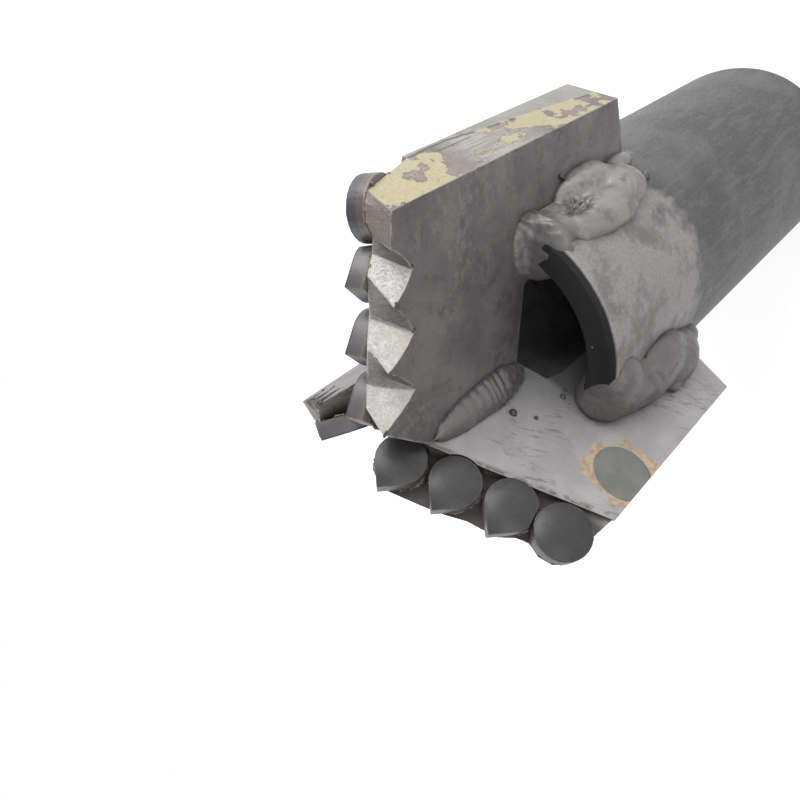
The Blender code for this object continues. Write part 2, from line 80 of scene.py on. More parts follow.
# Where burrs stand along its trailing edge: radius and height
CREST_TIPS = ((32.5, 194.6), (19.7, 199.8), (6.9, 205.0), (37.9, 188.3), (25.2, 191.0))

# How far along the bit the welds at the sides of the wings reach
SEAM_BACK = 107.5
SEAM_FRONT = 150.0
# Ripples of a weld: height, distance apart, and how far they take to fade
RIPPLE_HEIGHT = 0.17
RIPPLE_LENGTH = 1.45
RIPPLE_FADE = 1.5
# The crater in a weld, in the part's frame
CRATER_PLACE = (17.6, 32.0, 139.0)

# The braze round a cutter: lobes, voxel size, and the radius and height that it keeps within
BEAD_LOBES = 36
BEAD_VOXEL = 0.34
BEAD_LIMITS = (54.2, 206.5)

# Sides of the wings that the photograph shows: wing and face. Their spatter is placed one by one
SHOWN_SIDES = ((1, TRAILING_FACE), (3, LEADING_FACE))

# The camera, in the part's frame
CAMERA_PLACE = (0.0924, 0.0800, 0.2607)
CAMERA_RIGHT = (0.68393, -0.19801, -0.70216)
CAMERA_DOWN = (0.31209, -0.79054, 0.52692)
CAMERA_FORWARD = (-0.65942, -0.57952, -0.47887)
CAMERA_SENSOR = 36.0
CAMERA_LENS = 25.45
CAMERA_SHIFT = (0.0112, 0.0258)


def wing_matrix(number):
    """Return the turn from a wing's frame to the part's."""
    return Matrix.Rotation(WING_ANGLES[number], 4, "Z")


class Graph:
    """Adds and links the nodes of a material or of a node group."""

    def __init__(self, tree):
        self.tree = tree

    def add(self, kind, **settings):
        made = self.tree.nodes.new(kind)
        for name, value in settings.items():
            setattr(made, name, value)
        return made

    def feed(self, socket, value):
        """Link a socket to a value's node, or set its constant."""
        if isinstance(value, bpy.types.NodeSocket):
            self.tree.links.new(value, socket)
        else:
            socket.default_value = value

    def math(self, operation, first, second=None, clamp=False):
        made = self.add("ShaderNodeMath", operation=operation, use_clamp=clamp)
        self.feed(made.inputs[0], first)
        if second is not None:
            self.feed(made.inputs[1], second)
        return made.outputs[0]

    def vector(self, operation, first, second=None):
        made = self.add("ShaderNodeVectorMath", operation=operation)
        self.feed(made.inputs[0], first)
        if second is not None:
            self.feed(made.inputs[1], second)
        return made.outputs["Value" if operation in ("DISTANCE", "LENGTH", "DOT_PRODUCT") else "Vector"]

    def scaled(self, vector, factors):
        return self.vector("MULTIPLY", vector, factors)

    def axes(self, vector):
        made = self.add("ShaderNodeSeparateXYZ")
        self.feed(made.inputs[0], vector)
        return made.outputs[0], made.outputs[1], made.outputs[2]

    def joined(self, x, y, z):
        made = self.add("ShaderNodeCombineXYZ")
        for socket, value in zip(made.inputs, (x, y, z)):
            self.feed(socket, value)
        return made.outputs[0]

    def turned(self, vector, angle):
        made = self.add("ShaderNodeVectorRotate", rotation_type="Z_AXIS")
        self.feed(made.inputs["Vector"], vector)
        made.inputs["Angle"].default_value = angle
        return made.outputs[0]

    def noise(self, vector, scale, detail=3.0, roughness=0.55, distortion=0.0, colour=False):
        made = self.add("ShaderNodeTexNoise")
        self.feed(made.inputs["Vector"], vector)
        for name, value in (("Scale", scale), ("Detail", detail), ("Roughness", roughness),
                            ("Distortion", distortion)):
            self.feed(made.inputs[name], value)
        return made.outputs["Color" if colour else 0]

    def cells(self, vector, scale, feature="F1", randomness=1.0):
        made = self.add("ShaderNodeTexVoronoi", feature=feature)
        self.feed(made.inputs["Vector"], vector)
        self.feed(made.inputs["Scale"], scale)
        made.inputs["Randomness"].default_value = randomness
        return made.outputs["Distance"]

    def ramp(self, value, low, high, start=0.0, end=1.0, smooth=True):
        """Return start where the value is low, end where it is high, and a blend between them."""
        made = self.add("ShaderNodeMapRange", interpolation_type="SMOOTHSTEP" if smooth else "LINEAR")
        self.feed(made.inputs["Value"], value)
        for name, setting in (("From Min", low), ("From Max", high), ("To Min", start), ("To Max", end)):
            self.feed(made.inputs[name], setting)
        return made.outputs[0]

    def mix(self, share, first, second, blend="MIX"):
        made = self.add("ShaderNodeMix", data_type="RGBA", blend_type=blend)
        self.feed(made.inputs[0], share)
        for socket, value in ((made.inputs[6], first), (made.inputs[7], second)):
            self.feed(socket, (*value, 1.0) if isinstance(value, tuple) and len(value) == 3 else value)
        return made.outputs[2]

    def blend(self, share, first, second):
        """Return a number between two others."""
        made = self.add("ShaderNodeMix", data_type="FLOAT")
        self.feed(made.inputs[0], share)
        self.feed(made.inputs[2], first)
        self.feed(made.inputs[3], second)
        return made.outputs[0]

    def both(self, *masks):
        result = masks[0]
        for mask in masks[1:]:
            result = self.math("MULTIPLY", result, mask)
        return result

    def either(self, *masks):
        result = masks[0]
        for mask in masks[1:]:
            result = self.math("MAXIMUM", result, mask)
        return result

    def inverse(self, mask):
        return self.math("SUBTRACT", 1.0, mask)

    def tint(self, colour, mask, share, tone):
        """Lay a tone over a colour where a mask shows, no stronger than share."""
        return self.mix(self.math("MULTIPLY", mask, share), colour, tone)

    def wander(self, cloud, size):
        """Return a noise value as an offset to either side of zero."""
        return self.math("MULTIPLY", self.math("SUBTRACT", cloud, 0.5), size)

    def hypotenuse(self, first, second):
        squares = [self.math("MULTIPLY", side, side) for side in (first, second)]
        return self.math("SQRT", self.math("ADD", *squares))

    def leaning(self, share, way):
        """Return the surface's own normal, mixed by a share with a way in the object's frame."""
        fixed = self.add("ShaderNodeVectorTransform", vector_type="NORMAL", convert_from="OBJECT",
                         convert_to="WORLD")
        fixed.inputs[0].default_value = way
        made = self.add("ShaderNodeMix", data_type="VECTOR")
        self.feed(made.inputs[0], share)
        self.feed(made.inputs[4], self.add("ShaderNodeNewGeometry").outputs["Normal"])
        self.feed(made.inputs[5], fixed.outputs[0])
        return made.outputs[1]

    def bump(self, height, strength, distance, normal=None):
        made = self.add("ShaderNodeBump")
        made.inputs["Strength"].default_value = strength
        made.inputs["Distance"].default_value = distance
        self.feed(made.inputs["Height"], height)
        if normal is not None:
            self.feed(made.inputs["Normal"], normal)
        return made.outputs[0]

    def group(self, made, **values):
        """Place a node group with its own values and return its outputs."""
        node = self.add("ShaderNodeGroup", node_tree=made)
        for name, value in values.items():
            self.feed(node.inputs[name.replace("_", " ")], value)
        return node.outputs

    def seen(self):
        """Return a mask of the camera's rays: straight, mirrored or let through."""
        path = self.add("ShaderNodeLightPath").outputs
        return self.either(path["Is Camera Ray"], path["Is Glossy Ray"], path["Is Transmission Ray"])


def new_group(name, inputs, outputs):
    """Return a new shader node group, its graph, and the sockets inside its two ends.

    Inputs are (name, kind, default).
    """
    made = bpy.data.node_groups.new(name, "ShaderNodeTree")
    for label, kind, default in inputs:
        socket = made.interface.new_socket(name=label, in_out="INPUT", socket_type="NodeSocket" + kind)
        if default is not None:
            socket.default_value = default
    for label, kind in outputs:
        made.interface.new_socket(name=label, in_out="OUTPUT", socket_type="NodeSocket" + kind)
    graph = Graph(made)
    entry = graph.add("NodeGroupInput")
    leave = graph.add("NodeGroupOutput")
    return made, graph, entry.outputs, leave.inputs


def edge_wear_group():
    """Bare edges: a mask of the convex and concave edges, broken up by noise."""
    made, g, entry, leave = new_group(
        "edge_wear",
        [("Place", "Vector", None), ("Width", "Float", 0.0006), ("Breakup", "Float", 0.5)],
        [("Mask", "Float")])
    bevel = g.add("ShaderNodeBevel", samples=4)
    g.feed(bevel.inputs["Radius"], entry["Width"])
    geometry = g.add("ShaderNodeNewGeometry")
    flat = g.vector("DOT_PRODUCT", bevel.outputs[0], geometry.outputs["True Normal"])
    edge = g.ramp(flat, 0.995, 0.90)
    patches = g.noise(entry["Place"], 0.35, 4.0, 0.6)
    kept = g.ramp(patches, g.math("SUBTRACT", entry["Breakup"], 0.12), entry["Breakup"])
    g.feed(leave["Mask"], g.both(edge, kept))
    return made


def mottle_group():
    """Oxide and smudges: three sizes of cloud, from broad stains to fine speckle."""
    made, g, entry, leave = new_group(
        "oxide_mottle",
        [("Place", "Vector", None), ("Stain Scale", "Float", 0.05), ("Speckle Scale", "Float", 1.6)],
        [("Stain", "Float"), ("Smudge", "Float"), ("Speckle", "Float")])
    place = entry["Place"]
    warp = g.noise(place, 0.09, 2.0, 0.5, colour=True)
    bent = g.vector("ADD", place, g.scaled(warp, (9.0, 9.0, 9.0)))
    stain = g.noise(bent, entry["Stain Scale"], 4.0, 0.6)
    g.feed(leave["Stain"], g.ramp(stain, 0.36, 0.66))
    smudge = g.noise(bent, 0.22, 6.0, 0.7)
    g.feed(leave["Smudge"], g.ramp(smudge, 0.50, 0.66))
    speckle = g.noise(place, entry["Speckle Scale"], 3.0, 0.7)
    g.feed(leave["Speckle"], g.ramp(speckle, 0.34, 0.68))
    return made


def striation_group():
    """Lines that a grinding wheel leaves: long along one axis of Place, fine across it."""
    made, g, entry, leave = new_group(
        "grinding_lines",
        [("Place", "Vector", None), ("Fine", "Float", 3.0)],
        [("Lines", "Float"), ("Bands", "Float")])
    stretched = g.scaled(entry["Place"], (1.0, 0.03, 1.0))
    fine = g.noise(stretched, entry["Fine"], 4.0, 0.65)
    g.feed(leave["Lines"], g.ramp(fine, 0.30, 0.70))
    bands = g.noise(stretched, 0.55, 2.0, 0.5)
    g.feed(leave["Bands"], g.ramp(bands, 0.35, 0.65))
    return made


def grain_group():
    """Height of a metal skin: rolled or blasted grain, with a few pits."""
    made, g, entry, leave = new_group(
        "metal_grain",
        [("Place", "Vector", None), ("Grain Scale", "Float", 2.4), ("Pits", "Float", 0.4)],
        [("Height", "Float")])
    place = entry["Place"]
    grain = g.noise(place, entry["Grain Scale"], 5.0, 0.65)
    broad = g.noise(place, 0.18, 3.0, 0.5)
    pits = g.ramp(g.cells(place, 0.55), 0.10, 0.22)
    kept = g.ramp(g.noise(place, 0.12, 2.0, 0.5), 0.52, 0.60)
    pitted = g.math("MULTIPLY", g.both(g.inverse(pits), kept), entry["Pits"])
    height = g.math("ADD", g.math("MULTIPLY", grain, 0.6), g.math("MULTIPLY", broad, 0.8))
    g.feed(leave["Height"], g.math("SUBTRACT", height, pitted))
    return made


def crevice_group():
    """Painted shade in the corners: a mask of the places that other surfaces stand close to, broken up by
    noise.
    """
    made, g, entry, leave = new_group(
        "crevice_shade",
        [("Place", "Vector", None), ("Reach", "Float", 0.003)],
        [("Mask", "Float")])
    # Painted shade: ambient occlusion finds where other surfaces stand close
    shelter = g.add("ShaderNodeAmbientOcclusion", samples=4)
    g.feed(shelter.inputs["Distance"], entry["Reach"])
    cloud = g.noise(entry["Place"], 0.30, 4.0, 0.65)
    level = g.math("ADD", shelter.outputs["AO"], g.wander(cloud, 0.6))
    g.feed(leave["Mask"], g.ramp(level, 0.80, 0.35, 0.0, 0.85))
    return made


GROUPS = {}


def make_groups():
    """Build every shared effect once."""
    GROUPS["edge"] = edge_wear_group()
    GROUPS["mottle"] = mottle_group()
    GROUPS["lines"] = striation_group()
    GROUPS["grain"] = grain_group()
    GROUPS["crevice"] = crevice_group()


def start_material(name):
    """Return a new material, its graph, its shader and the place on the part in millimetres."""
    made = bpy.data.materials.new(name)
    made.use_nodes = True
    g = Graph(made.node_tree)
    shader = made.node_tree.nodes["Principled BSDF"]
    coordinates = g.add("ShaderNodeTexCoord")
    place = g.scaled(coordinates.outputs["Object"], (TO_MM, TO_MM, TO_MM))
    return made, g, shader, place


def finish_skin(g, shader, place, colour, metallic, rough, grain, relief, normal=None):
    """Set the inputs of a shader that is one kind of metal all over.

    rough is a mask and the roughness at its two ends, grain is a scale and a share of pits, and relief is the
    strength and the height of the bump.
    """
    mask, low, high = rough
    scale, pits = grain
    g.feed(shader.inputs["Base Color"], colour)
    shader.inputs["Metallic"].default_value = metallic
    g.feed(shader.inputs["Roughness"], g.ramp(mask, 0.0, 1.0, low, high))
    skin = g.group(GROUPS["grain"], Place=place, Grain_Scale=scale, Pits=pits)
    g.feed(shader.inputs["Normal"], g.bump(skin["Height"], *relief, normal))


def shank_material():
    """Round steel tube: dull grey skin, paler beside the welds, with painted shade on its rim, inside the
    bore and in its corners.
    """
    made, g, shader, place = start_material("shank_steel")
    x, y, height = g.axes(place)
    facing = g.add("ShaderNodeNewGeometry").outputs["True Normal"]
    face_up = g.axes(facing)[2]
    mottle = g.group(GROUPS["mottle"], Place=place, Stain_Scale=0.045, Speckle_Scale=1.3)
    colour = g.mix(mottle["Stain"], (0.066, 0.063, 0.063), (0.108, 0.103, 0.104))
    colour = g.tint(colour, mottle["Smudge"], 0.5, (0.062, 0.059, 0.058))

    streaks = g.noise(g.scaled(place, (1.0, 1.0, 0.16)), 0.45, 5.0, 0.7)
    colour = g.tint(colour, g.ramp(streaks, 0.46, 0.64), 0.55, (0.128, 0.123, 0.124))

    # Paler, speckled band that the heat of welding left at the front
    torn = g.noise(place, 0.075, 5.0, 0.62)
    edge_height = g.math("ADD", height, g.wander(torn, 60.0))
    heated = g.ramp(edge_height, 104.0, 117.0)
    pale = g.mix(mottle["Speckle"], (0.225, 0.218, 0.214), (0.315, 0.306, 0.301))
    dark_cloud = g.ramp(g.noise(place, 0.085, 6.0, 0.68), 0.46, 0.62)
    pale = g.tint(pale, dark_cloud, 0.75, (0.125, 0.120, 0.117))
    colour = g.mix(heated, colour, pale)

    radius = g.hypotenuse(x, y)
    # Painted shade: the rim's front face, down between the wings, is painted nearly black
    rim = g.both(g.ramp(face_up, 0.35, 0.60), g.ramp(height, 149.0, 150.5), g.ramp(radius, 36.25, 35.85))
    rim_shade_tone = g.mix(mottle["Stain"], (0.020, 0.019, 0.019), (0.031, 0.029, 0.030))
    colour = g.mix(rim, colour, rim_shade_tone)
    # Painted shade: inside the bore the colour darkens to nearly black towards its front end
    inside = g.ramp(radius, 33.0, 31.0)
    depths = g.mix(mottle["Stain"], (0.120, 0.122, 0.119), (0.190, 0.192, 0.188))
    colour = g.mix(inside, colour, g.mix(g.ramp(height, 118.0, 146.0), depths, (0.026, 0.025, 0.025)))
    rim_and_bore_shade = g.either(inside, rim)
    # Painted shade in the corners where other surfaces stand close
    crevice = g.group(GROUPS["crevice"], Place=place, Reach=0.004)
    colour = g.mix(g.both(crevice["Mask"], g.inverse(rim_and_bore_shade)), colour, (0.052, 0.048, 0.046))
    edge = g.group(GROUPS["edge"], Place=place, Width=0.0007, Breakup=0.45)
    bare = g.both(edge["Mask"], g.inverse(inside), g.ramp(radius, 35.4, 36.0))
    colour = g.mix(bare, colour, (0.36, 0.35, 0.34))
    g.feed(shader.inputs["Base Color"], colour)
    # The painted shade at the rim and in the bore is made matt, with little gloss
    g.feed(shader.inputs["Metallic"], g.blend(rim_and_bore_shade, 0.32, 0.0))
    rough = g.ramp(mottle["Speckle"], 0.0, 1.0, 0.48, 0.62)
    g.feed(shader.inputs["Roughness"], g.blend(rim_and_bore_shade, rough, 0.85))
    g.feed(shader.inputs["Specular IOR Level"], g.blend(rim_and_bore_shade, 0.5, 0.15))
    grain = g.group(GROUPS["grain"], Place=place, Grain_Scale=2.0, Pits=0.3)
    g.feed(shader.inputs["Normal"], g.bump(grain["Height"], 0.30, 0.0003))
    return made


def braze_halo(g, radial, height, face_lead, place, mottle):
    """Return the mask and the colour of the copper and brass that ran round the gauge insert."""
    across = g.math("SUBTRACT", radial, INSERT_PLACE[0])
    along = g.math("SUBTRACT", height, INSERT_PLACE[1])
    distance = g.hypotenuse(across, along)
    ragged = g.noise(place, 0.13, 5.0, 0.62)
    reach = g.math("ADD", distance, g.wander(ragged, -17.0))
    mask = g.both(g.ramp(reach, 10.6, 9.9), g.ramp(face_lead, 0.8, 0.9))
    flecks = g.noise(place, 0.75, 4.0, 0.7)
    copper = g.mix(g.ramp(flecks, 0.42, 0.60), (0.33, 0.215, 0.155), (0.46, 0.345, 0.235))
    copper = g.tint(copper, mottle["Speckle"], 0.4, (0.52, 0.42, 0.31))
    return mask, copper


def gauge_colours(g, height, leading, place, mottle):
    """Return the colour of a gauge face: grey-green strip, mauve-brown strip and pale brass films."""
    wander = g.wander(g.noise(place, 0.10, 3.0, 0.5), 5.0)
    wavy = g.math("ADD", height, wander)
    groove = g.ramp(height, 100.0, 160.0, -7.4, 0.8, smooth=False)
    side = g.math("SUBTRACT", g.math("ADD", leading, g.math("MULTIPLY", wander, 0.25)), groove)
    green = g.mix(mottle["Stain"], (0.225, 0.226, 0.212), (0.300, 0.292, 0.275))
    mauve = g.mix(mottle["Stain"], (0.150, 0.124, 0.120), (0.250, 0.218, 0.208))
    front = g.ramp(wavy, 139.0, 149.0)
    streaks = g.noise(g.scaled(place, (1.0, 1.2, 0.12)), 0.9, 3.0, 0.6)
    streaked = g.mix(g.ramp(streaks, 0.40, 0.62), (0.240, 0.222, 0.208), (0.330, 0.325, 0.292))
    near = g.mix(g.both(front, g.ramp(wavy, 166.0, 159.0)), mauve, streaked)
    colour = g.mix(g.ramp(side, -0.25, 0.25), near, green)
    colour = g.mix(g.both(g.ramp(side, -0.7, -0.2), g.ramp(side, 0.35, 0.05)), colour, (0.075, 0.062, 0.058))

    # Brass films: one behind the middle, one at the front edge
    shape = g.noise(place, 0.15, 4.0, 0.55)
    behind = g.both(g.ramp(height, 110.0, 121.0), g.ramp(height, 148.0, 140.0))
    ahead = g.ramp(height, 165.0, 176.0)
    extra = g.math("ADD", g.math("MULTIPLY", behind, 0.13), g.math("MULTIPLY", ahead, 0.19))
    cover = g.math("ADD", shape, extra)
    film = g.both(g.ramp(cover, 0.565, 0.59), g.ramp(side, 0.9, 0.1))
    brass = g.mix(mottle["Speckle"], (0.345, 0.300, 0.185), (0.440, 0.395, 0.262))
    colour = g.mix(film, colour, brass)
    outline = g.both(g.ramp(cover, 0.54, 0.565), g.ramp(cover, 0.60, 0.575), g.ramp(side, 0.9, 0.1))
    return g.tint(colour, outline, 0.5, (0.13, 0.095, 0.075))


def trailing_colour(g, part_place, place, mottle):
    """Return the colour of a plate's trailing face: brown-grey scale, rubbed paler here and there."""
    colour = g.mix(mottle["Stain"], (0.112, 0.106, 0.104), (0.168, 0.160, 0.157))
    colour = g.tint(colour, mottle["Smudge"], 0.5, (0.068, 0.064, 0.060))
    rubbed = g.noise(g.scaled(place, (0.8, 1.0, 1.1)), 0.55, 6.0, 0.75)
    rub_zone = g.ramp(g.noise(part_place, 0.055, 3.0, 0.5), 0.47, 0.62)
    return g.mix(g.both(g.ramp(rubbed, 0.47, 0.62), rub_zone, 0.7), colour, (0.205, 0.198, 0.193))


def leading_colour(g, part_place, place, mottle):
    """Return the colour of a plate's leading face: brushed pale, scratched, and burnt along the pocket."""
    radial, leading, height = g.axes(place)
    colour = g.mix(mottle["Stain"], (0.285, 0.276, 0.275), (0.365, 0.355, 0.354))
    colour = g.tint(colour, mottle["Speckle"], 0.25, (0.43, 0.42, 0.418))
    slanted = g.turned(g.joined(radial, height, leading), math.radians(35.0))
    scratches = g.ramp(g.noise(g.scaled(slanted, (0.30, 1.3, 1.0)), 0.50, 6.0, 0.72), 0.50, 0.64)
    zone = g.ramp(g.noise(part_place, 0.065, 3.0, 0.5), 0.49, 0.57)
    colour = g.tint(colour, g.both(scratches, zone), 0.65, (0.105, 0.100, 0.098))
    line = g.math("ADD", height, g.math("MULTIPLY", radial, POCKET_SLOPE))
    off_line = g.math("ABSOLUTE", g.math("SUBTRACT", line, POCKET_LINE))
    burnt = g.both(g.ramp(off_line, 1.9, 0.3), g.ramp(g.noise(part_place, 0.35, 4.0, 0.65), 0.38, 0.56))
    return g.tint(colour, burnt, 0.85, (0.085, 0.072, 0.062))


def outer_flanks(g, radial, leading):
    """Return a mask of the crown's outer flanks, each from a crest to the valley outside it."""
    mask = 0.0
    for crest, valley in CREST_LINES:
        crest_radius = g.ramp(leading, TRAILING_FACE, CREST_FRONT, crest[1], crest[0], smooth=False)
        valley_radius = g.ramp(leading, TRAILING_FACE, CREST_FRONT, valley[1], valley[0], smooth=False)
        beyond_crest = g.math("SUBTRACT", radial, crest_radius)
        short_of_valley = g.math("SUBTRACT", valley_radius, radial)
        flank = g.both(g.ramp(beyond_crest, -0.1, 0.25), g.ramp(short_of_valley, -0.1, 0.5))
        mask = g.math("ADD", mask, flank, clamp=True)
    return mask


def crown_colour(g, number, part_place, mottle, lines, outer_flank, land):
    """Return the colour of a ground crown: outer flanks painted bright as painted light, inner flanks painted
    grey as painted shade, and a grey-brown land.
    """
    # Painted shade: the far wing's crown gets darker copies of the same tones
    if number == SHADED_FAR_WING:
        lit_flank_tones = ((0.105, 0.092, 0.087), (0.185, 0.165, 0.158))
        shaded_flank_tones = ((0.055, 0.049, 0.047), (0.100, 0.090, 0.086))
    else:
        lit_flank_tones = ((0.330, 0.323, 0.315), (0.540, 0.532, 0.525))
        shaded_flank_tones = ((0.150, 0.140, 0.138), (0.235, 0.222, 0.218))
    # Painted light and shade: the same ground steel is painted bright on the outer flanks and grey on the
    # inner ones
    bright = g.mix(lines["Lines"], *lit_flank_tones)
    bright = g.tint(bright, lines["Bands"], 0.35, (0.28, 0.265, 0.255))
    warm = g.ramp(g.noise(part_place, 0.16, 3.0, 0.5), 0.52, 0.66)
    bright = g.tint(bright, warm, 0.35, (0.42, 0.375, 0.265))
    dull = g.mix(lines["Lines"], *shaded_flank_tones)
    land_tone = g.mix(mottle["Speckle"], (0.150, 0.125, 0.115), (0.205, 0.175, 0.160))
    return g.mix(land, g.mix(outer_flank, dull, bright), land_tone)


def wing_material(number):
    """One wing's steel plate: smudged faces, a brazed gauge edge and a ground crown."""
    made, g, shader, part_place = start_material(f"wing_steel_{number}")
    place = g.turned(part_place, -WING_ANGLES[number])
    true_normal = g.add("ShaderNodeNewGeometry").outputs["True Normal"]
    face_out, face_lead, face_up = g.axes(g.turned(true_normal, -WING_ANGLES[number]))
    radial, leading, height = g.axes(place)
    mottle = g.group(GROUPS["mottle"], Place=part_place, Stain_Scale=0.06, Speckle_Scale=1.5)
    lines = g.group(GROUPS["lines"], Place=place, Fine=2.2)

    is_leading = g.ramp(face_lead, 0.55, 0.75)
    colour = g.mix(is_leading, trailing_colour(g, part_place, place, mottle),
                   leading_colour(g, part_place, place, mottle))
    halo, copper = braze_halo(g, radial, height, face_lead, place, mottle)
    colour = g.mix(halo, colour, copper)

    crown = g.both(g.ramp(face_up, 0.04, 0.10), g.ramp(height, 175.0, 177.0), g.ramp(leading, 0.5, -0.5),
                   g.ramp(face_lead, 0.60, 0.40))
    outer_flank = outer_flanks(g, radial, leading)
    land = g.ramp(radial, 41.6, 42.6)
    colour = g.mix(crown, colour, crown_colour(g, number, part_place, mottle, lines, outer_flank, land))
    gauge = g.ramp(face_out, 0.70, 0.85)
    colour = g.mix(gauge, colour, gauge_colours(g, height, leading, place, mottle))

    # Painted shade: inside the bore and down in the pocket everything is painted dark, with no gloss
    sunk_shade = g.both(g.ramp(g.hypotenuse(radial, leading), 29.5, 27.5), g.ramp(height, 153.5, 150.5))
    colour = g.mix(sunk_shade, colour, (0.105, 0.103, 0.100))
    pocket_floor_shade = g.both(g.ramp(leading, 0.6, -0.4), g.ramp(face_lead, 0.6, 0.8))
    colour = g.mix(pocket_floor_shade, colour, (0.060, 0.055, 0.050))

    # Bare metal on the edges, but not round the insert's seat in the gauge face
    edge = g.group(GROUPS["edge"], Place=part_place, Width=0.0006, Breakup=0.50)
    seat = g.both(gauge, g.ramp(leading, 1.4, 1.0), g.ramp(leading, -5.5, -5.0), g.ramp(height, 150.0, 151.0),
                  g.ramp(height, 171.0, 170.0))
    worn = g.both(edge["Mask"], g.inverse(sunk_shade), g.inverse(pocket_floor_shade), g.inverse(seat))
    colour = g.mix(worn, colour, (0.37, 0.355, 0.345))
    # Painted shade in the corners where other surfaces stand close, kept off the gauge, the outer flanks and
    # the bore
    crevice = g.group(GROUPS["crevice"], Place=part_place, Reach=0.004)
    corner_shade_area = g.both(g.inverse(sunk_shade), g.inverse(gauge), g.inverse(g.both(crown, outer_flank)))
    corner_shade = g.both(crevice["Mask"], corner_shade_area)
    colour = g.mix(corner_shade, colour, (0.050, 0.046, 0.043))
    g.feed(shader.inputs["Base Color"], colour)
    metallic = g.blend(is_leading, 0.30, 0.36)
    metallic = g.blend(g.both(crown, g.inverse(land)), metallic, 0.50)
    g.feed(shader.inputs["Metallic"], g.blend(g.either(sunk_shade, pocket_floor_shade), metallic, 0.0))
    rough = g.ramp(mottle["Speckle"], 0.0, 1.0, 0.46, 0.60)
    g.feed(shader.inputs["Roughness"], g.blend(crown, rough, 0.40))
    grain = g.group(GROUPS["grain"], Place=part_place, Grain_Scale=2.2, Pits=0.4)
    skin = g.blend(crown, grain["Height"], lines["Lines"])
    way = tuple(wing_matrix(number).to_3x3() @ FLANK_FACING)
    share = g.both(crown, outer_flank, g.inverse(land), 0.85)
    g.feed(shader.inputs["Normal"], g.bump(skin, 0.32, 0.0003, g.leaning(share, way)))
    return made


def compact_material(number):
    """Diamond table on a carbide disc: matt charcoal, with heat tints on the carbide."""
    made, g, shader, part_place = start_material(f"diamond_compact_{number}")
    place = g.turned(part_place, -WING_ANGLES[number])
    mottle = g.group(GROUPS["mottle"], Place=place, Stain_Scale=0.12, Speckle_Scale=2.4)
    off_floor = g.vector("DOT_PRODUCT", g.vector("SUBTRACT", place, SEATS[1]), tuple(POCKET_NORMAL))
    radial = g.axes(place)[0]
    colour = g.mix(mottle["Stain"], (0.030, 0.028, 0.029), (0.052, 0.048, 0.050))
    colour = g.tint(colour, mottle["Speckle"], 0.4, (0.072, 0.067, 0.068))
    colour = g.mix(g.ramp(radial, 12.0, 50.0, 0.0, 0.6, smooth=False), colour, (0.016, 0.015, 0.016))
    body = g.mix(mottle["Stain"], (0.090, 0.082, 0.086), (0.140, 0.129, 0.134))
    brown = g.mix(mottle["Smudge"], (0.092, 0.070, 0.060), (0.062, 0.051, 0.049))
    body = g.mix(g.ramp(radial, 40.5, 42.5), body, brown)
    tinted = g.mix(g.ramp(radial, 40.5, 42.5), body, (0.040, 0.043, 0.055))
    colour = g.mix(g.ramp(off_floor, 4.55, 4.35), colour, tinted)
    colour = g.mix(g.ramp(off_floor, 2.9, 2.1), colour, body)
    wetted = g.math("ADD", off_floor, g.math("MULTIPLY", mottle["Smudge"], 0.5))
    colour = g.mix(g.ramp(wetted, 1.2, 0.7), colour, (0.150, 0.120, 0.100))
    edge = g.group(GROUPS["edge"], Place=place, Width=0.0005, Breakup=0.50)
    colour = g.tint(colour, edge["Mask"], 0.5, (0.20, 0.19, 0.18))
    # Each diamond face is shaded as a shallow dome about its seat
    nearest = 20.0
    for seat in SEATS:
        offset = g.vector("SUBTRACT", place, seat)
        rise = g.vector("DOT_PRODUCT", offset, tuple(POCKET_NORMAL))
        square = g.math("SUBTRACT", g.vector("DOT_PRODUCT", offset, offset), g.math("MULTIPLY", rise, rise))
        nearest = g.math("MINIMUM", nearest, g.math("SQRT", g.math("MAXIMUM", square, 0.0)))
    dome = g.math("SUBTRACT", 1.0, g.math("POWER", g.math("DIVIDE", nearest, 7.0), 2.4))
    finish_skin(g, shader, place, colour, 0.1, (mottle["Smudge"], 0.42, 0.60), (4.0, 0.2),
                (0.2, 0.0002), g.bump(dome, 1.0, 0.0016))
    return made


def insert_material(number):
    """Sintered gauge insert: grey-green and matt, its gauge side finished like the plate round it."""
    made, g, shader, part_place = start_material(f"gauge_insert_{number}")
    place = g.turned(part_place, -WING_ANGLES[number])
    geometry = g.add("ShaderNodeNewGeometry")
    facing = g.turned(geometry.outputs["True Normal"], -WING_ANGLES[number])
    leading, height = g.axes(place)[1:]
    mottle = g.group(GROUPS["mottle"], Place=part_place, Stain_Scale=0.16, Speckle_Scale=3.0)
    colour = g.mix(mottle["Stain"], (0.132, 0.134, 0.120), (0.176, 0.177, 0.162))
    colour = g.tint(colour, mottle["Speckle"], 0.3, (0.21, 0.21, 0.195))
    gauge = g.ramp(g.axes(facing)[0], 0.70, 0.85)
    colour = g.mix(gauge, colour, gauge_colours(g, height, leading, place, mottle))
    finish_skin(g, shader, part_place, colour, 0.2, (mottle["Smudge"], 0.50, 0.66), (3.5, 0.2),
                (0.2, 0.0002))
    return made


def spatter_material():
    """Spatter: small dark balls with a blued skin."""
    made, g, shader, place = start_material("spatter_metal")
    mottle = g.group(GROUPS["mottle"], Place=place, Stain_Scale=0.3, Speckle_Scale=2.5)
    colour = g.mix(mottle["Stain"], (0.035, 0.033, 0.033), (0.095, 0.090, 0.090))
    finish_skin(g, shader, place, colour, 0.35, (mottle["Speckle"], 0.30, 0.45), (2.5, 0.3),
                (0.3, 0.0002))
    return made


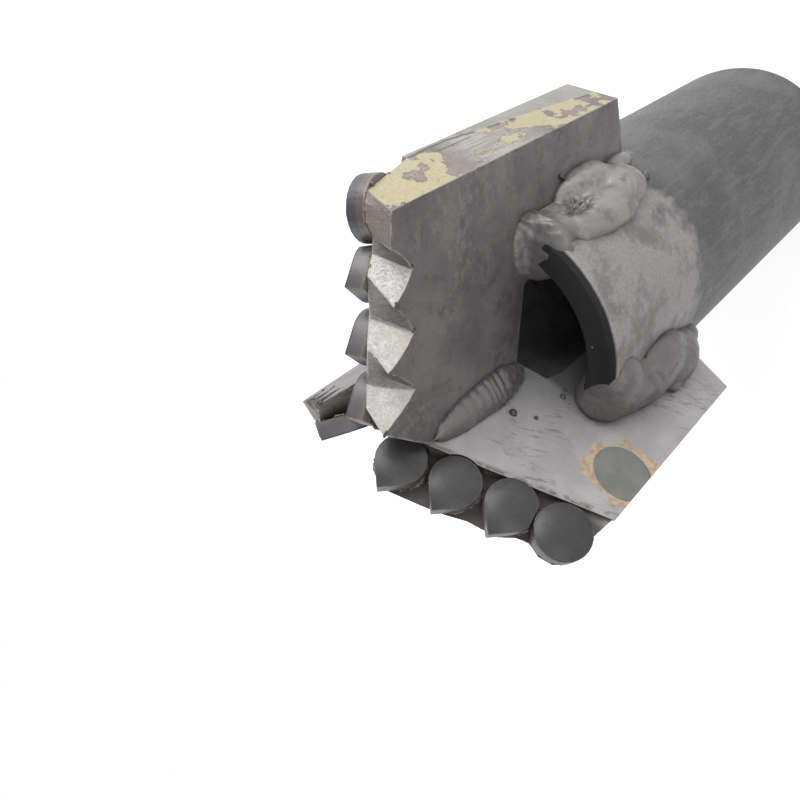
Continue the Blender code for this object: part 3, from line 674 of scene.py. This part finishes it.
def weld_material():
    """Weld metal: smooth, dull and smudged, darker round the crater, with paler specks, a painted highlight
    on the side towards +Y, painted shade on the side away from it and painted shade in its corners.
    """
    made, g, shader, place = start_material("weld_metal")
    mottle = g.group(GROUPS["mottle"], Place=place, Stain_Scale=0.09, Speckle_Scale=1.2)
    colour = g.mix(mottle["Stain"], (0.130, 0.125, 0.122), (0.225, 0.218, 0.213))
    x, y, height = g.axes(place)
    # Painted highlight: weld metal lying towards +Y is painted paler
    top_highlight = g.ramp(y, 15.0, 22.0)
    colour = g.tint(colour, top_highlight, 0.5, (0.31, 0.302, 0.297))
    crater = g.ramp(g.vector("LENGTH", g.vector("SUBTRACT", place, CRATER_PLACE)), 7.0, 3.0)
    scorched = g.ramp(g.noise(place, 0.45, 4.0, 0.7), 0.38, 0.55)
    colour = g.mix(g.both(crater, scorched, 0.8), colour, (0.075, 0.070, 0.067))
    colour = g.tint(colour, mottle["Smudge"], 0.6, (0.075, 0.069, 0.066))
    colour = g.tint(colour, mottle["Speckle"], 0.2, (0.30, 0.29, 0.285))
    front = g.ramp(height, 144.0, 148.5)
    # Painted shade: weld metal lying towards +X and away from +Y is painted darker
    sideways = g.math("SUBTRACT", g.math("MULTIPLY", x, 0.5), y)
    low_side_shade = g.ramp(sideways, 8.0, 14.0)
    colour = g.mix(g.both(front, g.inverse(low_side_shade), 0.85), colour, (0.142, 0.136, 0.133))
    colour = g.tint(colour, low_side_shade, 0.55, (0.085, 0.081, 0.080))
    # Painted shade in the corners where other surfaces stand close
    crevice = g.group(GROUPS["crevice"], Place=place, Reach=0.003)
    weld_corner_shade = g.math("MULTIPLY", crevice["Mask"], g.inverse(g.both(front, g.inverse(low_side_shade))))
    colour = g.mix(weld_corner_shade, colour, (0.050, 0.046, 0.043))
    finish_skin(g, shader, place, colour, 0.42, (mottle["Speckle"], 0.36, 0.52), (1.6, 0.6),
                (0.35, 0.0004))
    return made


def braze_material():
    """Braze: dull brass with copper and burnt flux in it."""
    made, g, shader, place = start_material("braze_metal")
    mottle = g.group(GROUPS["mottle"], Place=place, Stain_Scale=0.15, Speckle_Scale=1.8)
    colour = g.mix(mottle["Stain"], (0.100, 0.075, 0.058), (0.205, 0.170, 0.120))
    colour = g.tint(colour, mottle["Smudge"], 0.75, (0.055, 0.045, 0.038))
    finish_skin(g, shader, place, colour, 0.4, (mottle["Speckle"], 0.40, 0.58), (1.8, 0.3),
                (0.35, 0.0003))
    return made


def give(piece, made):
    """Put one material on a piece."""
    piece.data.materials.clear()
    piece.data.materials.append(made)


def new_object(name, data):
    """Add an object to the scene."""
    made = bpy.data.objects.new(name, data)
    bpy.context.scene.collection.objects.link(made)
    return made


def finished_mesh(name, work):
    """Return a mesh of what was built, and free the builder."""
    mesh = bpy.data.meshes.new(name)
    work.to_mesh(mesh)
    work.free()
    return mesh


def add_piece(name, mesh, finish, slot, *nodes):
    """Add a piece of the object, which may stand for some of the frame's nodes."""
    made = new_object(name, mesh)
    give(made, finish)
    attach(made, "root")
    if nodes:
        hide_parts(*nodes)
    return made


def refined(node, name, finish, slot, width, segments, flush=None, flank_of=None):
    """Stand a welded copy, its edges rounded, in for a node.

    Edges that flush() picks aren't rounded. The faces that flank_of() puts together are smoothed as one, and
    the edges between them aren't rounded either.
    """
    work = bmesh.new()
    work.from_mesh(node.data)
    work.transform(node.matrix_world)
    bmesh.ops.remove_doubles(work, verts=work.verts, dist=WELD_DISTANCE)
    bmesh.ops.dissolve_limit(work, angle_limit=FLAT_ANGLE, verts=work.verts, edges=work.edges)
    if flank_of:
        inner = []
        for vert in work.verts:
            flanks = {flank_of(face) for face in vert.link_faces}
            if len(flanks) == 1 and None not in flanks:
                inner.append(vert)
        for _ in range(SMOOTHING_ROUNDS):
            bmesh.ops.smooth_vert(work, verts=inner, factor=0.5, use_axis_x=True, use_axis_y=True,
                                  use_axis_z=True)
    weights = work.edges.layers.float.new("bevel_weight_edge")
    for face in work.faces:
        face.smooth = True
    for edge in work.edges:
        creased = edge.calc_face_angle(0.0) > SHARP_ANGLE
        if creased and flank_of:
            flanks = {flank_of(face) for face in edge.link_faces}
            creased = len(flanks) > 1 or None in flanks
        edge.smooth = not creased
        edge[weights] = float(creased and not (flush and flush(edge)))
    mesh = finished_mesh(name, work)
    made = add_piece(name, mesh, finish, slot, node.name)
    bevel = made.modifiers.new("rounded edges", "BEVEL")
    bevel.width = width
    bevel.segments = segments
    bevel.limit_method = "WEIGHT"
    bevel.use_clamp_overlap = True
    evened = made.modifiers.new("flat faces stay flat", "WEIGHTED_NORMAL")
    evened.mode = "FACE_AREA"
    evened.keep_sharp = True
    return made


def round_seat(number):
    """Return a test for the edges of the insert's seat that lie in the gauge face."""
    back = wing_matrix(number).inverted()

    def flush(edge):
        ends = [back @ (end.co * TO_MM) for end in edge.verts]
        inside = all(end.x > GAUGE_SIDE and SEAT_SIDES[0] < end.y < SEAT_SIDES[1]
                     and SEAT_HEIGHTS[0] < end.z < SEAT_HEIGHTS[1] for end in ends)
        return inside and min(end.y for end in ends) < LEADING_FACE - 0.2

    return flush


def close_seat(mesh, number):
    """Widen the insert's copy until the braze gap round it no longer shows on the gauge face."""
    turn = wing_matrix(number)
    back = turn.inverted()
    for vertex in mesh.vertices:
        place = back @ (vertex.co * TO_MM)
        place.z += SEAT_GAP * (place.z - INSERT_PLACE[1]) / INSERT_RADIUS
        if place.x < GAUGE_SIDE:
            place.x += SEAT_GAP * (place.x - INSERT_PLACE[0]) / INSERT_RADIUS
        elif place.y < 0.0:
            place.y -= SEAT_GAP
        vertex.co = turn @ (place * MM)


def crown_flanks(number):
    """Return a test that numbers the ground flank that a face of the crown belongs to."""
    back = wing_matrix(number).inverted()

    def flank_of(face):
        facing = back @ face.normal
        place = back @ (face.calc_center_median() * TO_MM)
        off_flanks = place.z < CROWN_BACK or place.y > 0.0 or place.x > LAND_EDGE
        if off_flanks or facing.z < 0.15 or abs(facing.y) > 0.9:
            return None
        share = (place.y - TRAILING_FACE) / (CREST_FRONT - TRAILING_FACE)
        count = 0
        for crest, valley in CREST_LINES:
            for lead, trail in (valley, crest):
                count += place.x < trail + (lead - trail) * share
        return count

    return flank_of


def lump_mesh(name, wing, lobes, hollows, rings, voxel=0.55, softening=7, seed=0, ripple=1.0):
    """Return weld metal that ran together from ellipsoids, in millimetres of a wing's frame.

    A lobe is a centre and half sizes. A hollow is a centre, a reach and a depth. A ring is the point that
    ripples spread from, and the distances between which they show.
    """
    work = bmesh.new()
    for centre, half_sizes in lobes:
        spot = Matrix.Translation(centre) @ Matrix.Diagonal((*half_sizes, 1.0))
        bmesh.ops.create_icosphere(work, subdivisions=4, radius=1.0, matrix=spot)
    mesh = finished_mesh(name, work)
    helper = new_object(name, mesh)
    remesh = helper.modifiers.new("run together", "REMESH")
    remesh.mode = "VOXEL"
    remesh.voxel_size = voxel
    soften = helper.modifiers.new("soften", "SMOOTH")
    soften.factor = 0.5
    soften.iterations = softening
    graph = bpy.context.evaluated_depsgraph_get()
    joined = bpy.data.meshes.new_from_object(helper.evaluated_get(graph), depsgraph=graph)
    joined.name = name
    bpy.data.objects.remove(helper)
    bpy.data.meshes.remove(mesh)
    shift = Vector((seed * 17.0, seed * 5.0, seed * 9.0))
    moves = []
    for vertex in joined.vertices:
        place = vertex.co
        coarse = noise.noise(place * 0.15 + shift)
        fine = noise.noise(place * 0.6 + shift)
        push = ripple * (0.40 * coarse + 0.15 * fine)
        for centre, reach, depth in hollows:
            near = max(0.0, 1.0 - (place - Vector(centre)).length / reach)
            rough = 1.0 + 0.8 * noise.noise(place * 1.6 + shift)
            push -= depth * near * near * (3.0 - 2.0 * near) * rough
        for centre, inner, outer in rings:
            far = (place - Vector(centre)).length + 0.5 * noise.noise(place * 0.3 + shift)
            if inner < far < outer:
                fade = min(1.0, (far - inner) / RIPPLE_FADE, (outer - far) / RIPPLE_FADE)
                push += RIPPLE_HEIGHT * fade * math.sin(math.tau * far / RIPPLE_LENGTH)
        moves.append(vertex.normal * push)
    for vertex, move in zip(joined.vertices, moves):
        vertex.co += move
    joined.transform(wing_matrix(wing) @ Matrix.Scale(MM, 4))
    joined.shade_smooth()
    return joined


def seam_lobes(side, seed):
    """Return lobes for a seam between a wing and the shank that the photograph doesn't show."""
    draw = random.Random(seed)
    face = LEADING_FACE if side > 0 else TRAILING_FACE
    corner = math.sqrt(SHANK_RADIUS ** 2 - face ** 2)
    lobes = []
    height = SEAM_BACK
    while height < SEAM_FRONT:
        step = draw.uniform(7.0, 10.0)
        size = draw.uniform(0.85, 1.1)
        lobes.append(((corner - 0.4, face + side * 2.4, height), (5.2 * size, 6.2 * size, 8.4 * size)))
        height += step
    return lobes


def centre_lobes(low, high, widest, size):
    """Return lobes for the leaf-shaped fillet between two wings' faces.

    They are in the frame of the wing that ends there.
    """
    corner = Vector((-4.56, TRAILING_FACE, 0.0))
    lobes = []
    count = 12
    for step in range(count + 1):
        height = low + (high - low) * step / count
        share = (height - widest) / ((high - widest) if height > widest else (widest - low))
        full = math.sqrt(max(0.0, 1.0 - share * share)) * size + 0.35
        lobes.append(((corner.x + 0.9, corner.y - 0.4, height), (full * 1.10, full * 0.72, 3.4)))
    return lobes


def welds(finish):
    """Stand lumpy weld metal in for the plain beads.

    A plan is a wing, its lobes, hollows and rings. Beads without one of their own are guessed.
    """
    plans = {
        "weld_trailing_1": (
            1,
            [((28.8, -16.6, 131.0), (6.6, 9.6, 18.0)), ((33.2, -12.4, 127.0), (6.6, 6.4, 12.0)),
             ((31.2, -15.6, 120.0), (6.2, 9.4, 9.5)), ((34.8, -12.2, 110.0), (2.4, 3.6, 6.0)),
             ((27.6, -12.5, 149.7), (8.6, 11.4, 3.2)), ((30.4, -14.6, 146.6), (4.4, 7.8, 6.2)),
             ((31.6, -12.4, 149.2), (4.4, 4.6, 4.2)), ((27.4, -11.4, 150.0), (8.4, 1.9, 5.6)),
             ((29.4, -12.6, 148.6), (5.2, 4.4, 4.6)), ((24.0, -11.0, 147.5), (5.0, 6.0, 5.0))],
            [((34.6, -17.6, 138.5), 6.5, 2.2)],
            [((33.0, -13.0, 134.0), 13.0, 20.0)]),
        "weld_leading_3": (
            3,
            [((35.0, 4.6, 130.0), (8.2, 12.8, 15.5)), ((36.6, 3.8, 120.0), (8.4, 9.8, 11.6)),
             ((32.4, 6.0, 146.4), (7.0, 13.0, 7.4)), ((33.6, 4.6, 140.0), (7.8, 10.0, 9.0)),
             ((36.2, 4.0, 109.0), (4.0, 5.6, 6.0)), ((43.4, 2.8, 124.5), (2.2, 1.8, 2.4))],
            [((33.0, 13.0, 146.0), 4.0, 0.8)],
            [((38.0, 4.0, 128.0), 9.0, 13.5), ((33.0, 4.0, 139.0), 9.5, 13.0)]),
        "weld_centre_1": (
            1,
            centre_lobes(157.5, 190.0, 170.0, 4.9),
            [((1.0, -13.5, 162.0), 2.6, 0.8)],
            [((-2.0, -12.5, 165.0), 2.0, 9.0)]),
    }
    for number in WING_ANGLES:
        plans.setdefault(f"weld_trailing_{number}", (
            number, seam_lobes(-1, number), [], [((34.0, TRAILING_FACE, 160.0), 14.0, 48.0)]))
        plans.setdefault(f"weld_leading_{number}", (
            number, seam_lobes(1, number + 10), [], [((34.0, LEADING_FACE, 160.0), 14.0, 48.0)]))
        plans.setdefault(f"weld_centre_{number}", (
            number, centre_lobes(158.0, 189.0, 172.0, 4.4), [], [((-4.0, -12.0, 170.0), 6.5, 11.0)]))
    for seed, (node, (wing, lobes, hollows, rings)) in enumerate(plans.items()):
        mesh = lump_mesh(node + "_run", wing, lobes, hollows, rings, seed=seed)
        add_piece(node + "_run", mesh, finish, "weld_metal", node)


def braze_beads(finish):
    """Add the irregular braze that was squeezed out round every cutter."""
    draw = random.Random(11)
    for number in WING_ANGLES:
        for order, seat in enumerate(SEATS, 1):
            lobes = []
            for step in range(BEAD_LOBES):
                turn = math.tau * step / BEAD_LOBES
                size = draw.uniform(0.45, 0.85)
                if math.sin(turn) > 0.2:
                    size *= 0.6
                across = SEAT_OUT * math.cos(turn) + SEAT_UP * math.sin(turn)
                lift = POCKET_NORMAL * draw.uniform(0.0, 0.5)
                place = Vector(seat) + lift + across * draw.uniform(6.3, 6.6)
                inside = place.x + size < BEAD_LIMITS[0] and place.z + size < BEAD_LIMITS[1]
                if inside and draw.random() < 0.92:
                    lobes.append((tuple(place), (size * 1.3, size, size * 1.3)))
            name = f"braze_bead_{number}_{order}"
            mesh = lump_mesh(name, number, lobes, [], [], BEAD_VOXEL, softening=2, seed=number + order,
                             ripple=0.3)
            add_piece(name, mesh, finish, "braze_metal")


def spatter(finish):
    """Add the balls of weld metal that stuck to the steel."""
    shown = [((18.0, -8.2, 168.8), 1.15), ((22.2, -10.6, 165.1), 0.62), ((21.9, -10.4, 151.3), 0.55),
             ((22.7, -10.9, 153.7), 0.78), ((21.0, 32.0, 110.6), 1.35), ((12.0, 39.4, 135.4), 0.7),
             ((12.0, 38.6, 134.2), 0.55), ((12.6, 34.9, 107.0), 1.4), ((30.4, 5.6, 152.4), 0.3)]
    draw = random.Random(5)
    for number in WING_ANGLES:
        for _ in range(5):
            side = draw.choice((LEADING_FACE, TRAILING_FACE))
            spot = Vector((draw.uniform(40.0, 49.0), side, draw.uniform(114.0, 150.0)))
            if (number, side) not in SHOWN_SIDES:
                shown.append((wing_matrix(number) @ spot, draw.uniform(0.35, 0.8)))
    for radial, height in CREST_TIPS:
        for number in (1, 2):
            for _ in range(3):
                spread = (draw.uniform(-0.7, 0.7), draw.uniform(-1.1, 0.1))
                spot = Vector((radial + spread[0], TRAILING_FACE, height + spread[1]))
                shown.append((wing_matrix(number) @ spot, draw.uniform(0.2, 0.5)))
    work = bmesh.new()
    for place, radius in shown:
        sizes = [radius * draw.uniform(0.85, 1.1) for _ in range(3)]
        spot = Matrix.Translation(Vector(place) * MM) @ Matrix.Diagonal((*(size * MM for size in sizes), 1.0))
        bmesh.ops.create_icosphere(work, subdivisions=3, radius=1.0, matrix=spot)
    mesh = finished_mesh("spatter", work)
    mesh.shade_smooth()
    add_piece("spatter", mesh, finish, "weld_metal")


def dress_nodes(nodes):
    """Give every solid of the frame its finish, and stand finer pieces in for those with visible edges."""
    wings = {number: wing_material(number) for number in WING_ANGLES}
    compacts = {number: compact_material(number) for number in WING_ANGLES}
    inserts = {number: insert_material(number) for number in WING_ANGLES}
    weld_finish = weld_material()
    braze_finish = braze_material()
    refined(nodes["shank"], "tube", shank_material(), "shank_steel", 0.0003, 2)
    for number in WING_ANGLES:
        refined(nodes[f"wing_{number}"], f"plate_{number}", wings[number], "wing_steel", 0.00035, 2,
                round_seat(number), crown_flanks(number))
        for order in range(1, 5):
            refined(nodes[f"cutter_{number}_{order}"], f"compact_{number}_{order}", compacts[number],
                    "diamond_compact", 0.0008, 3)
        insert = refined(nodes[f"gauge_insert_{number}"], f"insert_{number}", inserts[number], "gauge_insert",
                         0.0001, 2, round_seat(number))
        close_seat(insert.data, number)
    welds(weld_finish)
    spatter(spatter_material())
    braze_beads(braze_finish)
    give(nodes["centre_braze"], braze_finish)


def camera():
    """Add the camera where the photograph was taken from."""
    lens = bpy.data.cameras.new("camera")
    lens.sensor_width = CAMERA_SENSOR
    lens.lens = CAMERA_LENS
    lens.shift_x, lens.shift_y = CAMERA_SHIFT
    lens.clip_start = 0.005
    lens.clip_end = 50.0
    made = new_object("camera", lens)
    axes = Matrix((CAMERA_RIGHT, [-value for value in CAMERA_DOWN], [-value for value in CAMERA_FORWARD]))
    made.matrix_world = Matrix.Translation(CAMERA_PLACE) @ axes.transposed().to_4x4()
    bpy.context.scene.camera = made


def floor():
    """Add the pale floor, which keeps the object's shadow and fades to white away from it."""
    work = bmesh.new()
    bmesh.ops.create_grid(work, x_segments=1, y_segments=1, size=6.0)
    mesh = finished_mesh("floor", work)
    made = new_object("floor", mesh)
    paint = bpy.data.materials.new("floor")
    paint.use_nodes = True
    g = Graph(paint.node_tree)
    shader = paint.node_tree.nodes["Principled BSDF"]
    shader.inputs["Base Color"].default_value = (0.80, 0.80, 0.80, 1.0)
    shader.inputs["Roughness"].default_value = 0.9
    shader.inputs["Specular IOR Level"].default_value = 0.0
    away = g.vector("LENGTH", g.add("ShaderNodeTexCoord").outputs["Object"])
    glow = g.ramp(away, 0.06, 0.60, 0.55, 1.0)
    shader.inputs["Emission Color"].default_value = (1.0, 1.0, 1.0, 1.0)
    g.feed(shader.inputs["Emission Strength"], g.math("MULTIPLY", g.seen(), glow))
    mesh.materials.append(paint)


def backdrop():
    """Set the world: white where it is seen, and a soft fill elsewhere."""
    world = bpy.data.worlds.new("studio")
    bpy.context.scene.world = world
    world.use_nodes = True
    g = Graph(world.node_tree)
    background = world.node_tree.nodes["Background"]
    background.inputs["Color"].default_value = (1.0, 1.0, 1.0, 1.0)
    g.feed(background.inputs["Strength"], g.blend(g.seen(), 0.24, 1.0))


def softbox(name, place, aim, size, power):
    """Add a square lamp that looks at a point."""
    light = bpy.data.lights.new(name, "AREA")
    light.shape = "SQUARE"
    light.size = size
    light.energy = power
    made = new_object(name, light)
    made.location = place
    made.rotation_euler = (Vector(aim) - Vector(place)).to_track_quat("-Z", "Y").to_euler()


def studio():
    """Light the bit softly, mostly from the side that is the photograph's top."""
    middle = (0.0, 0.0, 0.12)
    softbox("key_light", (-0.25, 0.95, 0.45), middle, 0.8, 12.0)
    softbox("front_light", (0.75, 0.25, 0.75), middle, 0.7, 3.0)
    softbox("back_light", (-0.5, -0.8, 0.8), middle, 0.8, 4.0)


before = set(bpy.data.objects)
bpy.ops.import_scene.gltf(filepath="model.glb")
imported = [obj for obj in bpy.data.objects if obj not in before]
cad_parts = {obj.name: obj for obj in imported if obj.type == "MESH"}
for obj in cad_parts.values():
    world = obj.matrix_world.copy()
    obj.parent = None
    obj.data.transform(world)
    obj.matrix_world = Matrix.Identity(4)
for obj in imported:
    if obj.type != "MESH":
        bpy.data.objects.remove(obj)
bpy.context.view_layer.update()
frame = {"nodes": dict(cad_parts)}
bpy.context.scene.view_settings.view_transform = "Standard"
make_groups()
dress_nodes(frame["nodes"])
floor()
backdrop()
studio()
camera()
